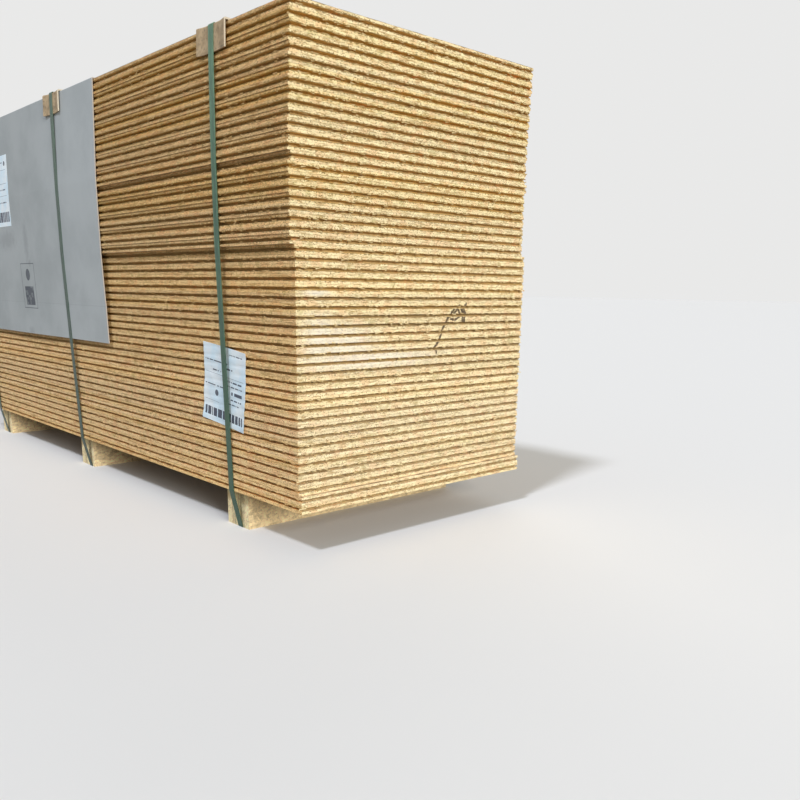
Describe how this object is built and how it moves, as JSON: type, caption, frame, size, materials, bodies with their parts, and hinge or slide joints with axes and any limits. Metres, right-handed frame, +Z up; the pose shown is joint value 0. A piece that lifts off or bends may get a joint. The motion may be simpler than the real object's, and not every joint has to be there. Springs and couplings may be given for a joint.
{
  "type": "strapped pack of osb panels",
  "caption": "Strapped pack of tongue and groove OSB panels on three bearers, with edge protectors, a folded cover sheet and blank labels.",
  "frame": {"origin": "middle of the pack's outline, on the floor under the bearers", "axes": "+X along the boards towards the grooved short end, +Y across the boards towards the tongued long side, +Z up"},
  "size_m": [2.0682, 0.709, 1.0349],
  "materials": {
    "osb_panels": "raw pressed strand board, cut edges",
    "osb_bearers": "raw strand board glued in layers",
    "strapping": "satin polyester band",
    "protector_board": "solid board angle, bare",
    "cover_board": "white-lined corrugated board",
    "label_paper": null
  },
  "bodies": {
    "root": {"panels_bottom": "osb_panels", "panels_middle": "osb_panels", "panels_top": "osb_panels", "cover_sheet": "cover_board", "panel_label": "label_paper", "sheet_label": "label_paper", "bearer_1": "osb_bearers", "strap_1": "strapping", "edge_protector_1_front": "protector_board", "edge_protector_1_back": "protector_board", "bearer_2": "osb_bearers", "strap_2": "strapping", "edge_protector_2_front": "protector_board", "edge_protector_2_back": "protector_board", "bearer_3": "osb_bearers", "strap_3": "strapping", "edge_protector_3_front": "protector_board", "edge_protector_3_back": "protector_board"}
  },
  "joints": []
}
